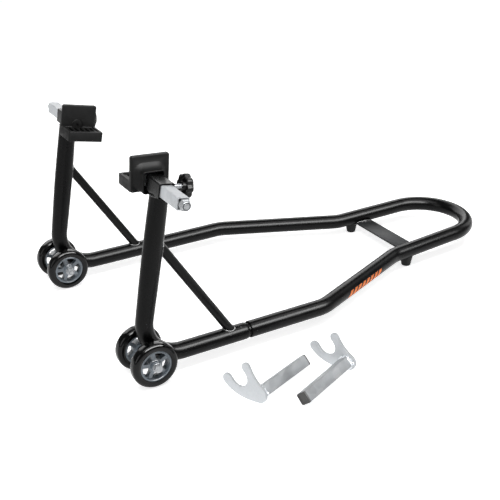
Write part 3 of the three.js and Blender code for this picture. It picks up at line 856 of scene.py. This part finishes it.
def opening_outline():
    """One window between two spokes: a wedge with round corners."""
    inner, outer, half_spoke = 0.0126, 0.0235, 0.0033
    corner = 0.0021

    def spot(radius, turn):
        return Vector((radius * sin(turn), radius * cos(turn)))

    def edge_turn(radius):
        return pi / SPOKES - asin(half_spoke / radius)

    sharp = [spot(outer, -edge_turn(outer)), spot(outer, edge_turn(outer))]
    sharp += [spot(inner, edge_turn(inner)), spot(inner, -edge_turn(inner))]
    points = []
    for i, here in enumerate(sharp):
        size = corner if i < 2 else corner * 0.75
        back = (sharp[i - 1] - here).normalized()
        on = (sharp[(i + 1) % 4] - here).normalized()
        for k in range(6):
            share = k / 5
            a = here + back * size * (1 - share)
            b = here + on * size * share
            points.append(a.lerp(b, share))
        if i == 0:
            start = edge_turn(outer) * 0.72
            points += [spot(outer + 0.0003, start * (k / 4 - 1)) for k in range(1, 8)]
    return [(p.x, p.y) for p in points]


def hub():
    """A ring with raised lips, a dished web with five windows, and a boss for the bush."""
    half_web = [(0.0, 0.0056), (0.0100, 0.0056), (0.0130, 0.0048), (0.0190, 0.0044)]
    half_web += [(0.0226, 0.0050), (0.0262, 0.0054)]
    web = lathe(mirrored(half_web), 80)
    window = opening_outline()
    cuts = []
    for k in range(SPOKES):
        turn = Matrix.Rotation(2 * pi * k / SPOKES, 4, "Y")
        cuts.append(("DIFFERENCE", moved(prism(window, -0.02, 0.02), turn)))
    web = combined(web, cuts)
    rounded(web, sharp_edges(web, 50), 0.0009, clamp=True)
    rim = [(0.0237, -0.0072), (0.0241, -0.0086), (0.0248, -0.0092), (0.0260, -0.0092), (0.0268, -0.0086)]
    rim += [(HUB_RADIUS, -0.0082)]
    ring = lathe(mirrored(rim), 80, wrap=True)
    boss = [(0.0061, -0.0108), (0.0088, -0.0108), (0.0094, -0.0103), (0.0098, -0.0060), (0.0112, -0.0048)]
    core = lathe(mirrored(boss), 64, wrap=True)
    return merged(web, ring, core)


def bush():
    ease = 0.0003
    low = -BUSH_HALF
    profile = [(0.0043, low + ease), (0.0046, low), (0.0057, low), (0.006, low + ease)]
    return lathe(mirrored(profile), 48, wrap=True)


for name in SIDES:
    for place in ("outer", "inner"):
        key = f"{name}_{place}"
        body = f"wheel_{key}"
        spin = joints[f"{body}_spin"]["pos_m"]
        turned = Matrix.Translation(spin) @ Matrix.Rotation(radians(WHEEL_TURNS[key]), 4, "Y")
        show(f"solid_tyre_{key}", moved(tyre(), turned), body, TYRE, [f"tyre_{key}"])
        wheel = moved(hub(), turned)
        show(f"spoked_hub_{key}", wheel, body, HUB_PLASTIC, [f"hub_{key}"], 40)
        show(f"steel_bush_{key}", moved(bush(), turned), body, BUSH_STEEL, [f"bush_{key}"])

# The axle parts are made for the right side with the bolt's head outboard, as in the CAD model.
washer_seat = WHEEL_PITCH / 2 + BUSH_HALF + GAP
nut_seat = washer_seat + WASHER_THICKNESS + GAP


def axle_bolt():
    """A hexagon head, a plain shank and a threaded end."""
    head_part = moved(hex_body(AXLE_NUT[0], AXLE_HEAD), Matrix.Translation((0, nut_seat, 0)))
    shank = rod(AXLE_RADIUS, -nut_seat + 0.012, nut_seat + 0.001, 32)
    end = thread(AXLE_RADIUS, nut_seat - 0.0125, nut_seat + 0.0100, COARSE_8)
    return merged(head_part, shank, moved(end, Matrix.Rotation(pi, 4, "Z")))


def lock_nut(across_flats, height, bore, collar_radius):
    """A hexagon with a domed collar. The collar's inner edge is turned over the nylon ring."""
    body = hex_body(across_flats, height, bore)
    low, top = height - 0.0006, height + 0.0016
    collar = [(bore, low), (collar_radius, low), (collar_radius, top)]
    collar += arc(collar_radius - 0.0012, top, 0.0012, 10, 80, 4)
    collar += [(bore + 0.0014, height + 0.0028), (bore + 0.0012, height + 0.0022), (bore, height + 0.0020)]
    return merged(body, lathe(collar, 56, wrap=True))


def nylon_ring(height, bore):
    """The ring that shows inside the lock nut's collar."""
    inner, outer = bore - 0.0001, bore + 0.0013
    low, high = height + 0.0008, height + 0.0024
    return lathe([(inner, low), (outer, low), (outer, high), (inner, high)], 48, wrap=True)


def washer(low, high):
    ease = 0.0002
    bore, rim = WASHER_BORE, WASHER_RADIUS
    profile = [(bore, low + ease), (bore + ease, low), (rim - ease, low), (rim, low + ease)]
    profile += [(rim, high - ease), (rim - ease, high), (bore + ease, high), (bore, high - ease)]
    return lathe(profile, 48, wrap=True)


for name, side in SIDES.items():
    facing = Matrix.Translation((axle.x, tube_y[name], axle.z)) @ half_turn(side)
    plated(f"hex_bolt_{name}", moved(axle_bolt(), facing), "frame", f"axle_bolt_{name}")
    inboard = facing @ Matrix.Rotation(pi, 4, "Z") @ Matrix.Translation((0, nut_seat, 0))
    plated(f"lock_nut_{name}", moved(lock_nut(*AXLE_NUT), inboard), "frame", f"axle_nut_{name}")
    ring = nylon_ring(AXLE_NUT[1], AXLE_NUT[2])
    show(f"lock_nut_ring_{name}", moved(ring, inboard), "frame", NYLON)
    for place, way in (("outer", 1), ("inner", -1)):
        low, high = sorted((way * washer_seat, way * (washer_seat + WASHER_THICKNESS)))
        flat = moved(washer(low, high), facing)
        plated(f"washer_{name}_{place}", flat, "frame", f"axle_washer_{name}_{place}")


# Sockets, bars and clamp screws. The head frame has Y along the bar, from the middle of the stand,
# and Z along the upright.

head_frame = Matrix.Translation((head.x, mid_y, head.z)) @ Matrix.Rotation(lean, 4, "Y")


def span(node, side):
    """The node's near and far distances from the middle plane."""
    low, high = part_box(node)
    return sorted((side * (low.y - mid_y), side * (high.y - mid_y)))


def bar_socket(side, near, far):
    low, high = sorted((side * (near - SOCKET_REACH), side * far))
    return square_tube(SOCKET_HALF, SOCKET_WALL, SOCKET_CORNER, low, high, 0.0005)


def square_bar(side, near, far):
    low, high = sorted((side * near, side * far))
    return square_tube(BAR_HALF, BAR_WALL, BAR_CORNER, low, high)


def clamp_nut():
    """A weld nut on its side: its axis runs along X."""
    nut = moved(hex_body(across_flats=0.013, height=0.0065, bore=0.0042), Y_TO_X)
    path = [Vector((0.0004, u, w)) for u, w in circle(0.0068, 30)]
    on_socket = Matrix.Translation((SOCKET_HALF + GAP, 0, 0))
    return moved(merged(nut, weld_bead(path, 0.0013, seed=40)), on_socket)


def clamp_stud():
    return moved(thread(STUD_RADIUS, 0.0103, 0.0500, COARSE_8, depth=0.00045), Y_TO_X)


def knob():
    """A lobed grip with a hollow back and a boss round the stud, about X."""
    sides = KNOB_LOBES * 14
    # Radius, place on the axis, and share of the dip between the lobes.
    profile = [
        (0.0041, 0.0490, 0), (0.0041, 0.0363, 0), (0.0046, 0.0360, 0), (0.0068, 0.0360, 0),
        (0.0073, 0.0364, 0), (0.0077, 0.0430, 0), (0.0090, 0.0443, 0), (0.0135, 0.0443, 0),
        (0.0150, 0.0432, 0), (0.0155, 0.0392, 0), (0.0160, 0.0383, 0.2), (0.0172, 0.0380, 0.7),
        (0.0186, 0.0382, 1), (0.0196, 0.0390, 1), (0.0200, 0.0402, 1), (0.0200, 0.0470, 1),
        (0.0196, 0.0482, 1), (0.0186, 0.0491, 0.9), (0.0168, 0.0497, 0.6), (0.0150, 0.0505, 0.2),
        (0.0130, 0.0517, 0), (0.0090, 0.0527, 0), (0.0045, 0.0531, 0), (0.0, 0.0532, 0),
    ]
    rings = []
    for radius, x, lobed in profile:
        ring = []
        for i in range(sides):
            turn = 2 * pi * i / sides
            dip = 0.5 - 0.5 * cos(KNOB_LOBES * turn)
            r = max(radius - KNOB_DIP * lobed * dip**1.6, 1e-6)
            ring.append(Vector((x, r * cos(turn), r * sin(turn))))
        rings.append(ring)
    mesh = loft(rings)
    bmesh.ops.remove_doubles(mesh, verts=mesh.verts, dist=4e-6)
    return mesh


def pad_bolt(seat):
    """A countersunk head with a hexagon socket, and a threaded tip that passes the nut's seat."""
    rim, neck = PAD_INNER + 0.0001, PAD_INNER + 0.0055
    profile = [(0.0, rim), (0.0092, rim), (0.0098, PAD_INNER + 0.0005), (PAD_BOLT_RADIUS, neck), (0.0, neck)]
    socket = prism(circle(0.0034, 6), PAD_INNER - 0.001, PAD_INNER + 0.003)
    head_part = combined(lathe(profile, 48), [("DIFFERENCE", socket)])
    shank = rod(PAD_BOLT_RADIUS, PAD_INNER + 0.005, seat - 0.004, 40)
    return merged(head_part, shank, thread(PAD_BOLT_RADIUS, seat - 0.005, seat + 0.0118, COARSE_10))


for name, side in SIDES.items():
    near, far = span(f"bar_socket_{name}", side)
    socket = moved(bar_socket(side, near, far), head_frame)
    painted(f"socket_{name}", socket, f"bar_socket_{name}")

    at_clamp = head_frame @ Matrix.Translation((0, tube_y[name] - mid_y, 0))
    painted(f"weld_nut_{name}", moved(clamp_nut(), at_clamp), f"clamp_nut_{name}")
    screw_body = joints[f"clamp_{name}_travel"]["child"]
    plated(f"stud_{name}", moved(clamp_stud(), at_clamp), screw_body, f"clamp_stud_{name}")
    knob_body = joints[f"knob_{name}_turn"]["child"]
    grip = moved(knob(), at_clamp)
    show(f"star_knob_{name}", grip, knob_body, KNOB_PLASTIC, [f"knob_{name}"], 50)

    bar_body = joints[f"bar_{name}_slide"]["child"]
    near, far = span(f"bar_{name}", side)
    bar = moved(square_bar(side, near, far), head_frame)
    show(f"square_bar_{name}", bar, bar_body, ZINC, [f"bar_{name}"])

    facing = head_frame @ half_turn(side)
    seat = far + GAP
    bolt = moved(pad_bolt(seat), facing)
    show(
        f"countersunk_bolt_{name}", bolt, bar_body, FASTENER,
        [f"pad_bolt_{name}"], dark_within=PAD_INNER + 0.006,
    )
    lift = Matrix.Translation((0, seat + 0.0012, 0))
    nut = moved(lock_nut(*PAD_NUT), lift)
    plated(f"bar_nut_{name}", moved(nut, facing), bar_body, f"pad_nut_{name}")
    ring = moved(nylon_ring(PAD_NUT[1], PAD_NUT[2]), lift)
    show(f"bar_nut_ring_{name}", moved(ring, facing), bar_body, NYLON)


# Pads. Made for the right side, about the bar's axis.


def pad_neck():
    """A flared collar from the plate to a thin lip round the bar."""
    rings = []
    steps = 16
    bottom = PAD_BOTTOM + 0.0014
    for k in range(steps + 1):
        share = k / steps
        y = PAD_FACE - 0.0006 + (NECK_LENGTH + 0.0006) * share
        flare = (1 - share) ** 3.2
        half = LIP_HALF + 0.0100 * flare
        top = LIP_HALF + 0.0105 * flare
        outline = rounded_rectangle(half, (top - bottom) / 2, 0.0048 + 0.012 * flare, 8)
        rings.append([Vector((u, y, w + (top + bottom) / 2)) for u, w in outline])
    mesh = loft(rings)
    mouth = [e for e in mesh.edges if all(v.co.y > PAD_FACE + NECK_LENGTH - 1e-6 for v in e.verts)]
    return rounded(mesh, mouth, 0.0008)


def neck_bore():
    """The hollow behind the lip narrows towards the plate."""
    rings = []
    for half, y in ((0.0150, 0.0004), (0.0164, 0.006), (LIP_HALF - 0.0017, NECK_LENGTH + 0.001)):
        rings.append(at_y(rounded_rectangle(half, half, 0.0026, 4), PAD_FACE + y))
    return loft(rings)


def bolt_hole():
    """A countersunk hole through the plate."""
    low, high = PAD_INNER - 0.002, PAD_FACE + 0.002
    profile = [(0.0, low), (0.0106, low), (0.0106, PAD_INNER + 0.0008), (0.0054, PAD_INNER + 0.006)]
    return lathe([*profile, (0.0054, high), (0.0, high)], 48)


def pad(half, shift, rise):
    """A plate with a collar, and a shelf with a shallow tray and grooves across it."""
    top = PAD_TOP + rise
    rim = rounded_rectangle(half, (top - PAD_BOTTOM) / 2, 0.0035, 6)
    face = [(u + shift, w + (top + PAD_BOTTOM) / 2) for u, w in rim]
    plate = prism(face, PAD_INNER, PAD_FACE, bevel=0.0016, segments=4)

    depth = PAD_INNER + 0.004 - PAD_TIP
    seat = [(u + shift, w) for u, w in rounded_rectangle(half, depth / 2, 0.0022, 5)]
    shelf = prism(seat, PAD_BOTTOM, SHELF_TOP, bevel=0.001, segments=3)
    shelf = moved(shelf, Matrix.Translation((0, PAD_TIP + depth / 2, 0)) @ Y_TO_Z)
    cuts = [neck_bore(), bolt_hole()]
    tray = half - 0.0048
    low = Vector((shift - tray, PAD_TIP + 0.0055, SHELF_TOP - 0.002))
    high = Vector((shift + tray, PAD_INNER - 0.0008, SHELF_TOP + 0.002))
    cuts.append(box_mesh(low, high, 0.0012))
    for k in range(GROOVES):
        x = shift + (k - GROOVES // 2) * GROOVE_PITCH
        low = Vector((x - GROOVE_HALF, PAD_TIP + 0.0085, SHELF_TOP - 0.006))
        high = Vector((x + GROOVE_HALF, PAD_INNER - 0.0022, SHELF_TOP + 0.002))
        cuts.append(box_mesh(low, high, 0.0009))
    steps = [("UNION", shelf), ("UNION", pad_neck())]
    return combined(plate, steps + [("DIFFERENCE", cut) for cut in cuts])


for name, side in SIDES.items():
    seat_axis = mounts[f"{name}_pad_seat"]["axis"]
    tilt = atan2(seat_axis[0], seat_axis[2])
    place = Matrix.Translation((head.x, mid_y, head.z)) @ Matrix.Rotation(tilt, 4, "Y") @ half_turn(side)
    body = joints[f"pad_{name}_swivel"]["child"]
    block = moved(pad(*PAD_SHAPES[name]), place)
    show(f"rubber_pad_{name}", block, body, PAD_RUBBER, [f"pad_{name}"], 34)


# Fork adapters. Local Z is along the bar, away from the plate or towards it as in the CAD model.


def hook_outline(lobe_x):
    """Two round tips, a deep mouth, a belly and the lobe that carries the bar."""
    a = Vector((-0.0430, 0.0463))
    b = Vector((0.0070, 0.0458))
    mouth = (b.x - HOOK_TIP - a.x - HOOK_FAR_TIP) / 2
    points = arc(b.x, b.y, HOOK_TIP, 0, 180, 16)
    points += arc(a.x + HOOK_FAR_TIP + mouth, HOOK_MOUTH + mouth, mouth, 0, -180, 28)
    points += arc(a.x, a.y, HOOK_FAR_TIP, 0, 180, 16)[:-1]
    low_end = Vector((lobe_x - 0.0095, -0.01225))
    curve = [Vector((a.x - HOOK_FAR_TIP, a.y)), Vector((-0.050, 0.018)), Vector((-0.028, 0)), low_end]
    for k in range(22):
        t = k / 22
        p = curve[0] * (1 - t) ** 3 + curve[1] * 3 * t * (1 - t) ** 2
        p += curve[2] * 3 * t * t * (1 - t) + curve[3] * t**3
        points.append((p.x, p.y))
    points += arc(lobe_x, 0, HOOK_LOBE, -128, 25, 24)
    start = Vector(points[-1])
    finish = Vector((b.x + HOOK_TIP, b.y))
    bend = start.lerp(finish, 0.42) + Vector((-0.0062, 0))
    for k in range(1, 14):
        t = k / 14
        p = start * (1 - t) ** 2 + bend * 2 * t * (1 - t) + finish * t * t
        points.append((p.x, p.y))
    return points


def hook_plate(way, lobe_x):
    low, high = (-HOOK_THICKNESS, 0) if way > 0 else (0, HOOK_THICKNESS)
    mesh = loft([[Vector((u, w, z)) for u, w in hook_outline(lobe_x)] for z in (low, high)])
    rims = [e for e in mesh.edges if abs(e.verts[0].co.z - e.verts[1].co.z) < 1e-7]
    return rounded(mesh, rims, 0.0007)


def hook_bar(way):
    bar = square_tube(BAR_HALF, BAR_WALL, BAR_CORNER, 0.0002, HOOK_BAR_LENGTH - CAP_LIP - 0.0001)
    return moved(bar, Matrix.Rotation(way * pi / 2, 4, "X"))


def hook_cap(way):
    """A plug with a lip as wide as the bar, and a shallow moulded recess in its end."""
    end = HOOK_BAR_LENGTH
    lip = rounded_rectangle(BAR_HALF, BAR_HALF, BAR_CORNER, 5)
    lip = prism(lip, end - CAP_LIP, end, bevel=0.0006, segments=3)
    dish = prism(rounded_rectangle(0.0072, 0.0072, 0.0016, 4), end - 0.0007, end + 0.002)
    plug = rounded_rectangle(0.0077, 0.0077, 0.001, 3)
    plug = prism(plug, end - 0.015, end - CAP_LIP + 0.0004, bevel=0.0005)
    cap = merged(combined(lip, [("DIFFERENCE", dish)]), plug)
    return moved(cap, Matrix.Rotation(way * pi / 2, 4, "X"))


def hook_weld(way):
    """Short runs of bead round the bar's root, with spatter beside them."""
    beads = []
    half = BAR_HALF + 0.0004
    for k in range(4):
        turn = Matrix.Rotation(k * pi / 2, 4, "Z")
        path = [turn @ Vector((half, half * (0.85 - 1.7 * i / 8), way * 0.0006)) for i in range(9)]
        beads.append(weld_bead(path, 0.0024, seed=50 + k, closed=False, ripple=0.0026))

    def beside_bar(a, b):
        return Vector((0.0128 + 0.0024 * abs(a), 0.0105 * b, way * 0.0003))

    return merged(*beads, spatter(beside_bar, spread=0.6, count=18, seed=4, size=0.0012))


# Degrees: the bar's heading and slope, and the plate's roll about the bar.
ADAPTERS = {
    "front": {"way": -1, "heading": 22.4, "slope": -1.85, "roll": 43, "lobe_x": -0.0005},
    "rear": {"way": 1, "heading": 22.1, "slope": 1.6, "roll": 39, "lobe_x": 0.004},
}

for name, spec in ADAPTERS.items():
    way = spec["way"]
    turn = Matrix.Rotation(radians(spec["heading"] - 90), 4, "Z")
    turn = turn @ Matrix.Rotation(radians(90 + spec["slope"]), 4, "X")
    turn = turn @ Matrix.Rotation(radians(spec["roll"]), 4, "Z")
    to_middle = Vector((0, 0, way * (HOOK_BAR_LENGTH - CAP_LIP) / 2))
    place = Matrix.Translation(centre(f"hook_bar_{name}") - (turn @ to_middle)) @ turn
    body = f"adapter_{name}"
    plate = moved(hook_plate(way, spec["lobe_x"]), place)
    show(f"fork_plate_{name}", plate, body, PLATE_ZINC, [f"hook_plate_{name}"])
    bar = moved(hook_bar(way), place)
    show(f"fork_bar_{name}", bar, body, ADAPTER_ZINC, [f"hook_bar_{name}"])
    cap = moved(hook_cap(way), place)
    show(f"end_cap_{name}", cap, body, CAP_PLASTIC, [f"hook_cap_{name}"])
    # The weld beads and spatter carry painted glint in their near-white colour.
    weld = moved(hook_weld(way), place)
    show(f"fork_weld_{name}", weld, body, WELD_METAL_AND_GLINT, sharp=60)


# A plain printed graphic on the loop's left side: a row of equal slanted stripes.

# Shares of the slanting stretch: where the row starts, from one stripe to the next, and one stripe.
STRIPE_START = 0.24
STRIPE_PITCH = 0.058
STRIPE_WIDTH = 0.036
STRIPES = 8
STRIPE_LOW = -26  # degrees round the tube, from its widest line
STRIPE_HIGH = 20
STRIPE_SLANT = 0.8
FILM = 0.00016  # how far it stands off the tube


def stripe(start, end):
    """A thin film on the loop's slanting left side. start and end are shares of its length."""
    first = Vector((axle.x + LOOP_FIRST_BEND, mid_y - track_half, arm_height))
    last = Vector((axle.x + LOOP_SECOND_BEND, mid_y - LOOP_SECOND_HALF, arm_height))
    way = (last - first).normalized()
    outward = Vector((way.y, -way.x, 0)).normalized()
    length = (last - first).length
    rings = []
    steps = 10
    for j in range(steps + 1):
        turn = radians(STRIPE_LOW + (STRIPE_HIGH - STRIPE_LOW) * j / steps)
        lift = STRIPE_SLANT * (turn - radians(STRIPE_LOW)) * TUBE_RADIUS
        near, far = [first + way * (length * share + lift) for share in (start, end)]
        normal = outward * cos(turn) + Vector((0, 0, 1)) * sin(turn)
        outer = normal * (TUBE_RADIUS + FILM)
        inner = normal * (TUBE_RADIUS - GAP)
        rings.append([near + outer, far + outer, far + inner, near + inner])
    return loft(rings)


starts = [STRIPE_START + k * STRIPE_PITCH for k in range(STRIPES)]
stripes = [stripe(start, start + STRIPE_WIDTH) for start in starts]
show("orange_stripes", merged(*stripes), "frame", ORANGE)

# ---------------------------------------------------------------- floor, light and camera


FLOOR_DROP = 0.0002
FLOOR_GLOW = 0.72
SKY_STRENGTH = 0.13

# Place and aim from the stand's middle, width, height, watts, and whether it shows in gloss only.
LIGHTS = {
    "strip": ((0, -0.35, 2.2), (0, 0, 0), 3.6, 0.6, 40, False),
    "gloss_box": ((0.5, -1.8, 1.95), (0.5, 0, 0), 3.6, 1.2, 430, True),
    "back_wall": ((0.6, 3.0, 1.7), (0.1, 0, 0), 5.0, 2.0, 130, True),
    "left_wall": ((-3.2, -0.6, 1.2), (0, 0, 0), 1.2, 2.0, 26, False),
    "right_wall": ((3.4, 0.4, 1.2), (0, 0, 0), 1.2, 2.0, 16, False),
}

# Fitted to the photo.
CAMERA_FROM_AXLE = Vector((-0.50211, -1.40228, 0.85896))
CAMERA_ANGLES = (64.106, 0.332, -30.363)
CAMERA_LENS = 66.6
CAMERA_SENSOR = 36


def stage_material():
    shade = Shade("pale_floor", grey(0.9), 0.8)
    shade.colour_from(shade.ramp(shade.noise(3, 2), [(0.3, grey(0.9)), (0.7, grey(0.92))]))
    shade.shader.inputs["Emission Color"].default_value = (1, 1, 1, 1)
    shade.shader.inputs["Emission Strength"].default_value = FLOOR_GLOW
    return shade.material


floor_mesh = bmesh.new()
bmesh.ops.create_grid(floor_mesh, x_segments=2, y_segments=2, size=12)
floor = as_object(floor_mesh, "floor")
floor.location.z = -FLOOR_DROP
floor.data.materials.append(stage_material())

world = bpy.data.worlds.new("studio")
bpy.context.scene.world = world
world.use_nodes = True
sky = world.node_tree.nodes["Background"]
sky.inputs["Color"].default_value = (1, 1, 1, 1)
sky.inputs["Strength"].default_value = SKY_STRENGTH

stand_middle = Vector((0, mid_y, 0.1))
for name, (offset, aim, width, height, power, gloss_only) in LIGHTS.items():
    data = bpy.data.lights.new(name, "AREA")
    data.shape = "RECTANGLE"
    data.size = width
    data.size_y = height
    data.energy = power
    lamp = bpy.data.objects.new(name, data)
    spot = stand_middle + Vector(offset)
    lamp.location = spot
    lamp.rotation_euler = (stand_middle + Vector(aim) - spot).to_track_quat("-Z", "Y").to_euler()
    lamp.visible_diffuse = not gloss_only
    bpy.context.scene.collection.objects.link(lamp)

lens = bpy.data.cameras.new("camera")
lens.sensor_width = CAMERA_SENSOR
lens.lens = CAMERA_LENS
lens.clip_start = 0.01
camera = bpy.data.objects.new("camera", lens)
camera.location = Vector((axle.x, mid_y, 0)) + CAMERA_FROM_AXLE
camera.rotation_euler = [radians(angle) for angle in CAMERA_ANGLES]
bpy.context.scene.collection.objects.link(camera)
bpy.context.scene.camera = camera
bpy.context.scene.view_settings.view_transform = "Standard"
